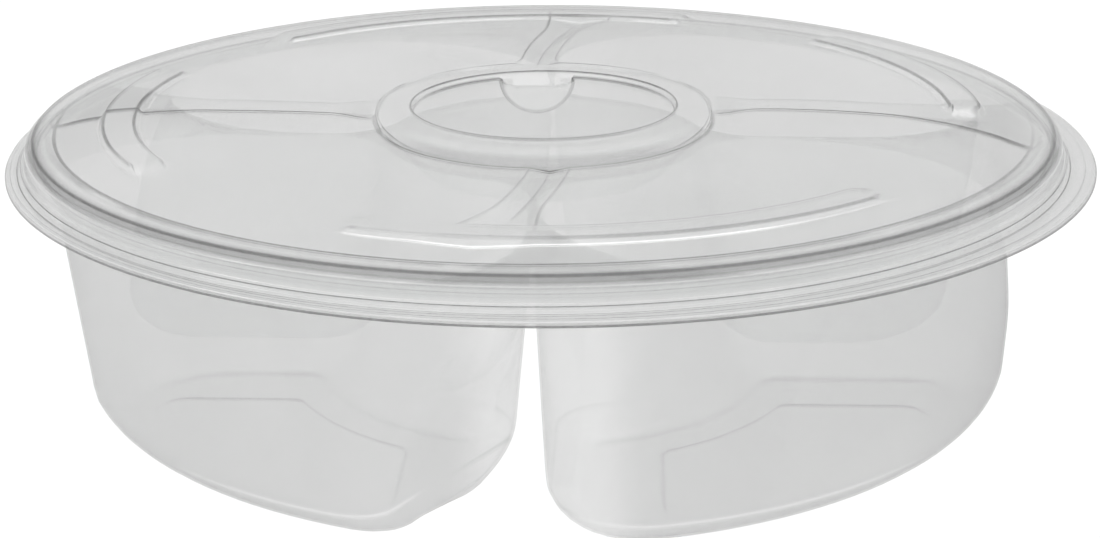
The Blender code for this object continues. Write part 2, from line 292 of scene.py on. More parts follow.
def lid_top(radius, degrees, off):
    """Height of the lid in R; off is the angle from the nearest valley's middle."""
    # moat between the centre ring and the lobes
    edge = moat_radius(degrees)
    moat = np.clip((radius - LAND_R) / (edge - LAND_R), 0.0, 1.0)
    bottom = LAND_Z - 0.0180 * np.clip((edge - LAND_R) / 0.060, 0.35, 1.0)
    down = lerp(LAND_Z, bottom, soft_ramp(moat / 0.66))
    # lobes between four valleys
    side = radius * np.sin(np.radians(np.abs(off)))
    floor = curve_through(radius, VALLEY_FLOOR)
    part = np.clip((radius - edge) / (LOBE_OUT - edge), 0.0, 1.0)
    lobe = 0.0595 + 0.0072 * (1.0 - np.abs(2.0 * part - 1.0) ** 2.6)
    rise = soft_ramp(side / curve_through(radius, VALLEY_HALF))
    top = lerp(floor, np.maximum(floor, lobe), rise)
    z = np.where(radius < LAND_R, curve_through(radius, RING),
                 lerp(down, top, soft_ramp((moat - 0.84) / 0.16)))
    # stacking ribs, level across the valleys
    for middle, half_span in RIBS:
        past = np.abs(wrap(degrees - middle)) - half_span
        over = np.maximum(0.0, np.radians(past) * RIB_R + RIB_HALF)
        distance = np.hypot(radius - RIB_R, over)
        share = 1.0 - smooth((distance - RIB_HALF + 0.009) / 0.011)
        z = lerp(z, np.maximum(z, RIB_TOP), share)
    # scoop; each row up its back wall is a smaller half-round
    angle = np.radians(degrees)
    x, y = radius * np.sin(angle), -radius * np.cos(angle)
    across = x / np.maximum(radius, 0.1) * SCOOP_BACK - SCOOP_X
    size = SCOOP_RADIUS - np.clip((radius - SCOOP_BACK) / SCOOP_WALL, 0.0, 1.0) * SCOOP_RADIUS
    depth = np.sqrt(np.clip(size * size - across * across, 0.0, 1.0))
    return z - depth * smooth((radius - SCOOP_FRONT) / 0.052) * (y > 0.0)


def lined(points):
    """Rounded profile as (radius, height, painted fold line, thickness); the painted line sits in
    the rounding.
    """
    profile = [(*points[0][:2], *points[0][3:])]
    for before, point, after in zip(points, points[1:], points[2:]):
        arc = rounded(((*before[:2], 0.0), point[:3], (*after[:2], 0.0)), 3)[1:-1]
        for j, (x, y) in enumerate(arc):
            bend = point[3] if 0 < j < len(arc) - 1 else 0.0
            profile.append((x, y, bend, point[4]))
    return profile + [(*points[-1][:2], *points[-1][3:])]


# rows of the lid from the centre out: radii, then shares of the moat and the lobes' start
SCOOP_ROWS = [SCOOP_BACK + SCOOP_WALL * share for share in (0.0, 0.03, 0.06, 0.4, 1.0)]
INNER_ROWS = (spread((0.0, 0.196, 5), (0.196, 0.242, 7))[1:] + SCOOP_ROWS
              + spread((0.2446, 0.2535, 7), (0.2535, 0.2965, 4), (0.2965, LAND_R, 3)))
MOAT_ROWS = spread((0.0, 0.06, 2), (0.06, 0.60, 6), (0.60, 0.72, 4), (0.72, 0.80, 2),
                   (0.80, 0.88, 4), (0.88, 0.97, 2), (0.97, 1.0, 3))[1:]
LOBE_ROWS = spread((0.0, 0.10, 3), (0.10, 1.0, 6))[1:]
ROUND_R = 0.45                    # from here on the rows are circles
OUTER_ROWS = spread((ROUND_R, 0.740, 15), (0.740, 0.762, 8), (0.762, 0.804, 4),
                    (0.804, 0.826, 8), (0.826, 0.892, 6), (0.892, LOBE_OUT, 3),
                    (LOBE_OUT, 0.9035, 3))[1:]
SKIRT_ROWS = lined(SKIRT)[1:]

# indices of rows that the marks below refer to
SCOOP_START = int(np.searchsorted(INNER_ROWS, SCOOP_FRONT))
SCOOP_END = INNER_ROWS.index(SCOOP_BACK)
MOAT_START = len(INNER_ROWS)
CREST = MOAT_START + len(MOAT_ROWS) - 1               # inner edge of the lobes
OUTER_START = CREST + 1 + len(LOBE_ROWS)
LOBE_FOOT = OUTER_START + OUTER_ROWS.index(LOBE_OUT)
SKIRT_START = OUTER_START + len(OUTER_ROWS)
FLANGE_START = SKIRT_START + len(SKIRT_ROWS)

# columns: the same half quarter eight times, mirrored about each valley
HALF = np.array(spread((0.0, 1.2, 2), (1.2, 6.2, 4), (6.2, 7.8, 4), (7.8, 45.0, 27))[:-1])
QUARTER_TURN = np.concatenate([HALF, [45.0], 90.0 - HALF[:0:-1]])
BASE = np.concatenate([QUARTER_TURN + 90.0 * k for k in range(4)])
FULL = np.ones(len(BASE))

# which way each column faces, as weights
BEARING = column_angle(0.30 * FULL, BASE)[0]
FORWARD = np.cos(np.radians(BEARING))
SIDEWAYS = np.abs(np.sin(np.radians(BEARING)))
FRONT = smooth((FORWARD + 0.15) / 0.5)
BEHIND = smooth((-FORWARD - 0.15) / 0.5)
BESIDE = smooth((SIDEWAYS - 0.86) / 0.1)              # only straight to the sides
ASIDE = smooth((SIDEWAYS - 0.50) / 0.35)              # a wider stretch of the sides
LEVEL = FRONT * np.clip(FORWARD, 0.0, 1.0)

# the valley nearest each column: 0 front, 1 right, 2 back, 3 left
VALLEY = ((BASE + 45.0) // 90.0) % 4
VALLEY_OFF = (BASE + 45.0) % 90.0 - 45.0
SIDE_VALLEY = (VALLEY == 1) | (VALLEY == 3)


def scoop_columns():
    angle = np.radians(column_angle(SCOOP_BACK * FULL, BASE)[0])
    across = np.abs(SCOOP_BACK * np.sin(angle) - SCOOP_X)
    return (across < SCOOP_RADIUS * 1.001) & (np.cos(angle) < 0)


def lid_grid():
    rows = []

    def add_row(radius):
        degrees, off = column_angle(radius, BASE)
        height = FLANGE_Z + lid_top(radius, degrees, off) * R
        rows.append(circle(radius * R, np.radians(degrees), height))

    for radius in INNER_ROWS:
        add_row(radius * FULL)
    # rows in the moat keep to its own width, and then run back to circles
    rim = moat_radius(column_angle(0.36 * FULL, BASE)[0])
    for part in MOAT_ROWS:
        add_row(lerp(LAND_R, rim, part))
    for part in LOBE_ROWS:
        add_row(lerp(rim, ROUND_R, part))
    for radius in OUTER_ROWS:
        add_row(radius * FULL)
    angle = np.radians(column_angle(FULL, BASE)[0])
    for radius, height, _, _ in SKIRT_ROWS:
        rows.append(circle(radius, angle, FLANGE_Z + height))
    # the flange's edge is centred on x = 0
    inner = circle(SKIRT_ROWS[-1][0], angle, FLANGE_Z + LID_FLANGE_TOP)
    outer = circle(LID_FLANGE_R, angle, FLANGE_Z + LID_FLANGE_TOP, axis=0.0)
    for share, _ in LID_FLANGE:
        rows.append(lerp(inner, outer, share))
    return np.stack(rows)


def mark_middle(bend):
    """Painted dark lines on the centre ring, the moat and the lobes' edges."""
    # the painted dark line on the land's outer edge only shows at the back
    bend[MOAT_START - 4:MOAT_START + 3] *= 0.40 * BEHIND
    bend[MOAT_START + 6:CREST - 6] *= 0.5
    bend[MOAT_START - 4:CREST + 3] *= 1.0 - 0.7 * BESIDE
    # painted dark line along the lobes' inner crest, strongest in front
    bend[CREST - 3:CREST + 2] = np.maximum(bend[CREST - 3:CREST + 2],
                                           1.1 * LEVEL * (1.0 - 0.6 * ASIDE))
    radii = np.array(INNER_ROWS)
    # painted dark lines at the foot of the ring's inner wall, then at its top
    foot = np.flatnonzero((radii > 0.240) & (radii < 0.2468))
    bend[foot] *= 1.0 - 0.75 * smooth((FORWARD + 0.75) / 0.5)
    top = np.flatnonzero((radii > 0.2468) & (radii < 0.2522))
    bend[top] = np.maximum(bend[top] * (1.0 - 0.5 * BESIDE), 0.85 * FRONT * (1.0 - 0.5 * ASIDE))
    # painted dark line at the lobes' foot, strongest straight in front
    ahead = FRONT * np.clip(FORWARD, 0.0, 1.0) ** 0.6
    bend[LOBE_FOOT - 4:LOBE_FOOT + 5] *= 0.10 + 0.90 * ahead
    bend[LOBE_FOOT - 1:LOBE_FOOT + 2] = 0.05 + 0.52 * ahead


def skirt_painted_fold_light():
    """Painted dark lines and painted highlights of the skirt and the flange, strongest in front.
    """
    lines = [row[2] for row in SKIRT_ROWS] + [line for _, line in LID_FLANGE]
    fade = np.ones((len(lines), len(BASE)))
    for k, row in enumerate(SKIRT_ROWS):
        if row[0] < 0.1412:
            fade[k] = 0.38 + 0.62 * LEVEL
    fade[len(SKIRT_ROWS):-1] = 0.12 + 0.88 * LEVEL
    return np.array(lines)[:, None] * fade


def mark_valleys(bend, span, reach):
    """Painted dark lines on the valley edges: the near side of the two side valleys is the
    strongest.
    """
    calm = (np.abs(VALLEY_OFF) < 12.0) & ~SIDE_VALLEY
    bend = bend * (1.0 - 0.6 * calm * reach * (span < 0.74))
    past_mark = np.abs(np.abs(VALLEY_OFF) - MARK) / 0.4
    weight = np.clip(np.where(SIDE_VALLEY, 1.6, 1.0) - past_mark, 0.0, 1.0)
    # (edge at the larger angle, edge at the smaller angle) of each valley
    strengths = ((0.20, 0.20), (0.10, 0.95), (0.42, 0.20), (1.0, 0.10))
    strength = np.zeros(len(BASE))
    for valley, (larger, smaller) in enumerate(strengths):
        strength = np.where(VALLEY == valley, np.where(VALLEY_OFF > 0, larger, smaller), strength)
    line = reach * weight * strength
    return np.where(line > 0.02, np.maximum(bend, line), bend)


def mark_ribs(bend, span):
    """Painted lines on the ribs: the front rib's dark ridge lines are softer, and so are some
    painted crease highlights right and back.
    """
    turn = wrap(BEARING)
    facing = 1.0 - smooth((np.abs(turn) - 50.0) / 15.0)
    facing *= 1.0 - 0.55 * smooth((turn - 8.0) / 18.0)
    rib_rows = (span > RIB_ZONE[0]) & (span < RIB_ZONE[1])
    bend = np.where(rib_rows & (bend > 0.0), bend * (1.0 - 0.65 * facing), bend)
    mouth = (np.abs(VALLEY_OFF) < 11.0) & (VALLEY == 2) | (np.abs(turn - 85.0) < 9.0)
    return np.where(rib_rows & mouth & (bend < 0.0), bend * 0.25, bend)


def lid_painted_fold_light(grid, span, reach, scoop):
    bend = turning(grid)
    bend[:MOAT_START] = turning(grid[:MOAT_START + 1], across=False)[:MOAT_START]
    # creases inside the ribs get painted dark lines, like ridges
    first_rib = int(np.argmax(span[:, 0] > RIB_ZONE[0]))
    bend[:first_rib] = np.abs(bend[:first_rib])
    mark_middle(bend)
    bend[SKIRT_START:] = skirt_painted_fold_light()
    bend = mark_ribs(mark_valleys(bend, span, reach), span)
    # painted dark line round the scoop's outline
    bend[:SCOOP_END + 6] *= 1.0 - scoop
    bend[SCOOP_END:SCOOP_END + 2, scoop] = 1.9
    bend[SCOOP_END - 1, scoop] = 1.2
    return bend


def lid_gauge_and_painted_shade(shape, reach, scoop):
    gauge_and_painted_light = np.ones(shape)
    gauge_and_painted_light[SCOOP_START:SCOOP_END, scoop] = 0.60
    gauge_and_painted_light[SCOOP_END:SCOOP_END + 5, scoop] = 0.90
    # painted shade, given as extra sheet thickness: on the moat's outer slope in front and on the
    # way down to the rim
    for k, part in enumerate(MOAT_ROWS):
        gather = smooth((part - 0.25) / 0.15)
        gauge_and_painted_light[MOAT_START + k] = 1.0 + 0.85 * FRONT * (1.0 - ASIDE) * gather
    # painted shade along the valleys, given as extra sheet thickness, stronger in the two side
    # valleys
    in_valley = 1.0 - smooth((np.abs(VALLEY_OFF) - 5.0) / 2.5)
    gauge_and_painted_light += np.where(SIDE_VALLEY, 0.40, 0.08) * in_valley * reach
    # painted shade on the skirt's bands, given as extra sheet thickness, strongest in front
    for k, row in enumerate(SKIRT_ROWS):
        gauge_and_painted_light[SKIRT_START + k] = 1.0 + (row[3] - 1.0) * (0.70 + 0.30 * LEVEL)
    gauge_and_painted_light[FLANGE_START:] = 0.85
    return gauge_and_painted_light


def build_lid(material):
    grid = lid_grid()
    span = np.linalg.norm(grid[:, :, :2] - np.array([AXIS_X, 0.0]), axis=2) / R
    # where the valleys count: from the moat out to just inside the rim or the ribs
    far = np.where(SIDE_VALLEY, 0.895, 0.78)
    reach = (smooth((span - moat_radius(BEARING)) / 0.02)
             * (1.0 - smooth((span - far + 0.05) / 0.08)))
    scoop = scoop_columns()
    bend = lid_painted_fold_light(grid, span, reach, scoop)
    gauge_and_painted_light = lid_gauge_and_painted_shade(bend.shape, reach, scoop)
    # one centre vertex, then the rows
    count = len(BASE)
    centre = [[AXIS_X, 0.0, FLANGE_Z + RECESS_Z * R]]
    points = np.concatenate([centre, grid.reshape(-1, 3)])
    faces = as_tuples([ring_faces(1 + k * count, 1 + (k + 1) * count, count)
                       for k in range(len(grid) - 1)])
    faces += [(0, 1 + k, 1 + (k + 1) % count) for k in range(count)]
    return make_sheet("lid_sheet", points, faces, np.concatenate([[0.0], bend.reshape(-1)]),
                      np.concatenate([[1.0], gauge_and_painted_light.reshape(-1)]), material)


# ----------------------------------------------------------------- tray shape
# Two kinds of pocket alternate: plain ones front right and back left, and rounder
# ones, which lean in along one side, back right and front left.
POCKET_TURN = -2.3
# In R: height, outer arc, inner arc, gap to the quarter line, outer corner,
# the same on the rounder pockets, inner corner
POCKET = (
    (DECK_Z / R, 0.9165, 0.3000, 0.0050, 0.360, 0.264, 0.130),
    (0.0042, 0.9110, 0.3060, 0.0065, 0.355, 0.262, 0.128),
    (-0.0060, 0.9070, 0.3130, 0.0080, 0.350, 0.260, 0.125),
    (-0.1200, 0.8960, 0.3300, 0.0095, 0.285, 0.254, 0.122),
    (-0.3613, 0.8704, 0.3611, 0.0325, 0.150, 0.240, 0.115),
)
# the same columns for the crisp edge of the flat floor
FLOOR = (-FLANGE_Z / R + SHEET / R, 0.7600, 0.5000, 0.2300, 0.045, 0.050, 0.030)
FILLET = 0.0795
# rings down the fillet, degrees from the wall
FILLET_RINGS = (9.2, 15.0, 19.2, 20.4, 21.6, 22.8, 30.0, 38.0, 46.0, 55.2, 64.4, 73.6, 82.8)
BAND = (0.15, 0.35, 0.60, 0.90, 0.96, 1.0)     # rings from the fillet to the floor's edge
# segments of one pocket outline
OUTER_STEPS, CORNER_STEPS, SIDE_STEPS, INNER_CORNER_STEPS, INNER_STEPS = 24, 10, 6, 10, 12
# the leaning flat face in plan: slope, and a point on it, in R
LEAN_SLOPE, LEAN_ALONG, LEAN_AWAY = 0.58, 0.490, 0.034

# middle dish
DISH_R = 0.285 * R
DISH_IN = 0.215 * R
DISH_Z = -0.0078
DISH_STEPS = 14

# bead that the lid presses over: radius, height, corner radius
BEAD = rounded((
    (0.13820, DECK_Z, 0.0), (0.13845, DECK_Z, 0.0006), (0.13885, 0.00400, 0.0008),
    (0.13935, BEAD_TOP, 0.0007), (0.14040, BEAD_TOP, 0.0007), (0.14120, 0.00430, 0.0006),
    (0.14175, 0.00090, 0.0006), (0.14265, TRAY_FLANGE_TOP, 0.0008),
    (0.14350, TRAY_FLANGE_TOP, 0.0)), 4)
TRAY_FLANGE = (0.04, 0.35, 0.65, 0.94, 1.0)    # shares of the way to the flange's edge
RIM_COLUMNS = 432
DISH_COLUMNS = RIM_COLUMNS // 3
EIGHTH = math.radians(45.0)


def edge_point(along, away):
    """Point given along the pocket's quarter line and away from it."""
    return (along * math.cos(EIGHTH) + away * math.sin(EIGHTH),
            along * math.sin(EIGHTH) - away * math.cos(EIGHTH))


def pocket_outline(outer, inner, gap, corner, inner_corner):
    """Closed outline of one pocket in R, its middle direction along +x."""
    outer_along = math.sqrt((outer - corner) ** 2 - (gap + corner) ** 2)
    inner_along = math.sqrt((inner + inner_corner) ** 2 - (gap + inner_corner) ** 2)
    outer_angle = math.atan2(gap + corner, outer_along)
    inner_angle = math.atan2(gap + inner_corner, inner_along)
    half = []
    for k in range(OUTER_STEPS // 2):
        angle = (EIGHTH - outer_angle) * (k / (OUTER_STEPS / 2.0))
        half.append((outer * math.cos(angle), outer * math.sin(angle)))
    for k in range(CORNER_STEPS):
        angle = lerp(outer_angle, -math.pi / 2.0, k / CORNER_STEPS)
        half.append(edge_point(outer_along + corner * math.cos(angle),
                               gap + corner + corner * math.sin(angle)))
    for k in range(SIDE_STEPS):
        half.append(edge_point(lerp(outer_along, inner_along, k / SIDE_STEPS), gap))
    for k in range(INNER_CORNER_STEPS):
        angle = lerp(-math.pi / 2.0, -math.pi + inner_angle, k / INNER_CORNER_STEPS)
        half.append(edge_point(inner_along + inner_corner * math.cos(angle),
                               gap + inner_corner + inner_corner * math.sin(angle)))
    for k in range(INNER_STEPS // 2 + 1):
        angle = (EIGHTH - inner_angle) * (1.0 - k / (INNER_STEPS / 2.0))
        half.append((inner * math.cos(angle), inner * math.sin(angle)))
    return np.array(half + [(x, -y) for x, y in reversed(half[1:-1])])


def lean_side(outline, height, outer, gap):
    """The rounder pockets lean in along one side: a flat face that grows downwards.

    It meets the outer arc in a tight corner.
    """
    weight = float(smooth((-height - 0.10) / 0.30))
    if weight <= 0.0:
        return outline
    # where the flat face's line crosses the outer arc
    slope = LEAN_SLOPE
    heel_along = LEAN_ALONG - (LEAN_AWAY - gap) / slope
    offset = gap - slope * heel_along
    root = math.sqrt((slope * offset) ** 2
                     - (1.0 + slope * slope) * (offset * offset - outer * outer))
    along = (-slope * offset + root) / (1.0 + slope * slope)
    turn = EIGHTH - math.atan2(offset + slope * along, along)
    # last points of the arc, the tight corner, the flat face and the side
    arc_end = OUTER_STEPS // 2 - 2
    corner_end = arc_end + 7
    side_end = OUTER_STEPS // 2 + CORNER_STEPS + SIDE_STEPS
    heel_at = side_end - 4
    flat = outline.copy()
    last = turn - 0.085
    for k in range(arc_end + 1):
        angle = last * k / arc_end
        flat[k] = (outer * math.cos(angle), outer * math.sin(angle))
    corner = np.array((outer * math.cos(turn), outer * math.sin(turn)))
    length = float(np.linalg.norm(outline[side_end] - corner))
    after = lerp(corner, outline[side_end], 0.055 / length)
    for k in range(arc_end + 1, corner_end + 1):
        part = (k - arc_end) / (corner_end - arc_end)
        flat[k] = lerp(lerp(flat[arc_end], corner, part), lerp(corner, after, part), part)
    # along the flat face, then back along the side
    heel = np.array(edge_point(heel_along, gap))
    for k in range(corner_end + 1, heel_at + 1):
        flat[k] = lerp(after, heel, (k - corner_end) / (heel_at - corner_end))
    for k in range(heel_at + 1, side_end):
        flat[k] = lerp(heel, outline[side_end], (k - heel_at) / (side_end - heel_at))
    return lerp(outline, flat, weight)


def pocket_levels(rounder):
    """Height and outline sizes of one pocket's rings, from the deck to its flat floor."""
    columns = [0, 1, 2, 3, 5 if rounder else 4, 6]
    wall = np.array(POCKET)[:, columns]
    floor = np.array(FLOOR)[columns]
    # rolled lip, then the wall's two drafts
    levels = [bezier(wall[0], wall[1], wall[2], k / 4.0) for k in range(5)]
    levels += [lerp(wall[2], wall[3], k / 4.0) for k in range(1, 5)]
    levels += [lerp(wall[3], wall[4], k / 8.0) for k in range(1, 9)]
    z, outer, inner, gap, corner, inner_corner = wall[4]
    for degrees in FILLET_RINGS:
        angle = math.radians(degrees)
        inset = FILLET * (1.0 - math.cos(angle))
        levels.append(np.array((z - FILLET * math.sin(angle), outer - inset, inner + inset,
                                gap + inset, corner - inset, max(0.03, inner_corner - inset))))
    # the band eases onto the floor with a slight crease at the panel's edge
    last = levels[-1]
    for part in BAND:
        level = lerp(last, floor, part)
        level[0] = floor[0] + (last[0] - floor[0]) * (1.0 - part) ** 1.3
        levels.append(level)
    return levels


def pocket_rings(rounder):
    """(height, outline) of one pocket's rings, in R."""
    levels = pocket_levels(rounder)
    band_start = len(levels) - len(BAND)
    rings = []
    for k, (z, *sizes) in enumerate(levels):
        if not rounder:
            outline = pocket_outline(*sizes)
        elif k < band_start:
            outline = foot = lean_side(pocket_outline(*sizes), z, sizes[0], sizes[2])
        else:
            panel = pocket_outline(*levels[-1][1:])
            outline = lerp(foot, panel, BAND[k - band_start])
        rings.append((z, outline))
    return rings


class TrayParts:
    """Rings of points with their painted fold lines, their thickness (which also carries painted
    light), and the faces between them.
    """

    def __init__(self):
        self.rings, self.bend, self.gauge_and_painted_light = [], [], []
        self.quads, self.caps = [], []
        self.count = 0

    def add_ring(self, points):
        """Adds a ring and returns its first vertex."""
        start = self.count
        self.rings.append(points)
        self.bend.append(np.zeros(len(points)))
        self.gauge_and_painted_light.append(np.full(len(points), 1.35))
        self.count += len(points)
        return start

    def add_strip(self, rings):
        """Adds joined rings of equal size and returns their first vertices."""
        starts = [self.add_ring(ring) for ring in rings]
        for first, second in zip(starts, starts[1:]):
            self.quads.append(ring_faces(first, second, len(rings[0])))
        return starts

    def mark_folds(self, count, ridge_shade=1.0, crease_glint=1.0):
        """Works out the painted fold lines of the last count rings: dark on ridges, highlights in
        creases.
        """
        value = turning(np.stack(self.rings[-count:]))
        self.bend[-count:] = list(np.where(value < 0.0, value * crease_glint, value * ridge_shade))


def outward_y(ring):
    """How far each edge of a ring faces the back (1) or the front (-1)."""
    along = np.roll(ring, -1, 0) - np.roll(ring, 1, 0)
    along /= np.maximum(np.linalg.norm(along, axis=1, keepdims=True), 1e-9)
    arm = ring - ring.mean(0)
    return -along[:, 0] * np.sign((arm[:, 1] * -along[:, 0] + arm[:, 0] * along[:, 1]).sum())


def add_pocket(parts, quarter):
    """Adds one pocket and returns the vertices of its lip."""
    middle = math.radians(POCKET_TURN + 45.0 + 90.0 * quarter - 90.0)
    cosine, sine = math.cos(middle), math.sin(middle)
    rings = pocket_rings(rounder=quarter % 2 == 1)
    last = None
    for z, outline in rings:
        x, y = outline[:, 0], outline[:, 1]
        size = len(outline)
        points = np.stack([AXIS_X + R * (x * cosine - y * sine), R * (x * sine + y * cosine),
                           np.full(size, FLANGE_Z + z * R)], 1)
        start = parts.add_ring(points)
        if last is None:
            lip = list(range(start, start + size))
        else:
            # the walls beside the front and back gaps are thinner
            beside = smooth((0.026 - np.abs(points[:, 0] - AXIS_X)) / 0.014)
            parts.gauge_and_painted_light[-1][:] = 1.0 - 0.36 * beside
            parts.quads.append(ring_faces(start, last, size))
        last = start
    parts.caps.append(tuple(range(last, last + size)))
    # painted dark lines on the pocket's ridges and faint painted highlights in its creases
    parts.mark_folds(len(rings), ridge_shade=0.35, crease_glint=0.04)
    # crisp edge of the floor panel, and where the fillet ends:
    # a painted dark line on the far edge of the panel, a painted highlight on the near one
    facing = outward_y(parts.rings[-2])
    strength = np.clip(np.abs(facing), 0.0, 1.0) ** 3
    parts.bend[-2][:] = 0.26 + np.where(facing > 0.0, 1.1, -1.6) * strength
    parts.bend[-len(BAND) - 1][:] = np.where(facing > 0.0, 0.4, 0.0) * strength
    # painted highlight along the fillet's 21.6 and 22.8 degree rings, towards the front: the
    # sheet is made thinnest there so that more light gets through
    for k in (-15, -14):
        parts.gauge_and_painted_light[k][:] = 1.0 - 0.50 * smooth((-facing - 0.60) / 0.25)
    return lip


def add_dish(parts):
    """Adds the middle dish and returns the vertices of its edge."""
    angle = np.radians(np.arange(DISH_COLUMNS) * 360.0 / DISH_COLUMNS)
    rings = []
    for k in range(DISH_STEPS + 1):
        part = k / DISH_STEPS
        height = lerp(DISH_Z, DECK_Z, float(smooth(part)))
        rings.append(circle(lerp(DISH_IN, DISH_R, part), angle, FLANGE_Z + height))
    starts = parts.add_strip(rings)
    # painted dark lines and highlights at the dish's folds
    parts.mark_folds(len(rings))
    parts.caps.append(tuple(range(starts[0], starts[0] + DISH_COLUMNS)))
    return list(range(starts[-1], starts[-1] + DISH_COLUMNS))


def add_rim(parts):
    """Adds the bead and the flange and returns the vertices of their inner edge."""
    angle = np.radians(np.arange(RIM_COLUMNS) * 360.0 / RIM_COLUMNS)
    rings = [circle(radius, angle, FLANGE_Z + height) for radius, height in BEAD]
    inner = circle(BEAD[-1][0], angle, FLANGE_Z + TRAY_FLANGE_TOP)
    outer = circle(R, angle, FLANGE_Z + TRAY_FLANGE_TOP, axis=0.0)
    rings += [lerp(inner, outer, share) for share in TRAY_FLANGE]
    starts = parts.add_strip(rings)
    # painted dark lines and highlights at the bead's folds
    parts.mark_folds(len(rings))
    for k in range(len(TRAY_FLANGE)):
        parts.gauge_and_painted_light[-1 - k][:] = 0.95
    # painted dark line along the flange's edge, darkest in front
    parts.bend[-1][:] = 0.25 + 1.0 * np.clip(np.cos(angle), 0.0, 1.0)     # darkest in front
    parts.bend[-2][:] = 0.0
    return list(range(starts[0], starts[0] + RIM_COLUMNS))


def encloses(outline, x, y):
    """Whether a closed outline goes round the point (x, y)."""
    start_x, start_y = outline[:, 0], outline[:, 1]
    end_x, end_y = np.roll(start_x, -1), np.roll(start_y, -1)
    crosses = (start_y > y) != (end_y > y)
    rise = np.where(end_y == start_y, 1.0, end_y - start_y)
    hit = crosses & (x < start_x + (end_x - start_x) * (y - start_y) / rise)
    return bool(np.count_nonzero(hit) % 2)


def deck_faces(points, loops):
    """Flat deck inside the first loop and outside the others."""
    ids = [i for loop in loops for i in loop]
    flat = [Vector((points[i][0], points[i][1])) for i in ids]
    edges = []
    for loop in loops:
        start, size = len(edges), len(loop)
        edges += [(start + k, start + (k + 1) % size) for k in range(size)]
    places, _, triangles, sources, *_ = delaunay_2d_cdt(flat, edges, [], 0, 1e-7)
    rim, *holes = [points[loop] for loop in loops]
    faces = []
    for face in triangles:
        x = sum(places[i].x for i in face) / len(face)
        y = sum(places[i].y for i in face) / len(face)
        if encloses(rim, x, y) and not any(encloses(hole, x, y) for hole in holes):
            faces.append(tuple(ids[sources[i][0]] for i in face))
    return faces


def build_tray(material):
    parts = TrayParts()
    lips = [add_pocket(parts, quarter) for quarter in range(4)]
    dish = add_dish(parts)
    rim = add_rim(parts)
    points = np.concatenate(parts.rings)
    faces = as_tuples(parts.quads) + parts.caps + deck_faces(points, [rim, *lips, dish])
    return make_sheet("tray_sheet", points, faces, np.concatenate(parts.bend),
                      np.concatenate(parts.gauge_and_painted_light), material)


# ------------------------------------------------------------------ materials
def node(tree, kind, at, *ordered, **named):
    """New node; inputs by place or by name are linked from a socket or set to a value."""
    made = tree.nodes.new(kind)
    made.location = at
    inputs = list(enumerate(ordered))
    inputs += [(key.replace("_", " "), value) for key, value in named.items()]
    for key, value in inputs:
        if isinstance(value, bpy.types.NodeSocket):
            tree.links.new(value, made.inputs[key])
        else:
            made.inputs[key].default_value = value
    return made


def calc(tree, operation, at, *values):
    made = node(tree, 'ShaderNodeMath', at, *values)
    made.operation = operation
    return made.outputs[0]


def gloss_surface(tree, position, wave, rough, seed):
    """Normal and roughness of the gloss."""
    # slow waviness left by forming the sheet
    waves = node(tree, 'ShaderNodeTexNoise', (-1100, -550), Vector=position,
                 Scale=38.0 + seed, Detail=1.5, Roughness=0.45)
    bump = node(tree, 'ShaderNodeBump', (-800, -550), Strength=1.0, Distance=wave,
                Height=waves.outputs["Fac"])
    # haze: a fine speckle in the gloss
    speck = node(tree, 'ShaderNodeTexNoise', (-1100, -300), Vector=position,
                 Scale=420.0, Detail=3.0, Roughness=0.6)
    haze = node(tree, 'ShaderNodeMapRange', (-800, -300), Value=speck.outputs["Fac"],
                From_Min=0.35, From_Max=0.75, To_Min=rough[0], To_Max=rough[1])
    return bump.outputs["Normal"], haze.outputs["Result"]


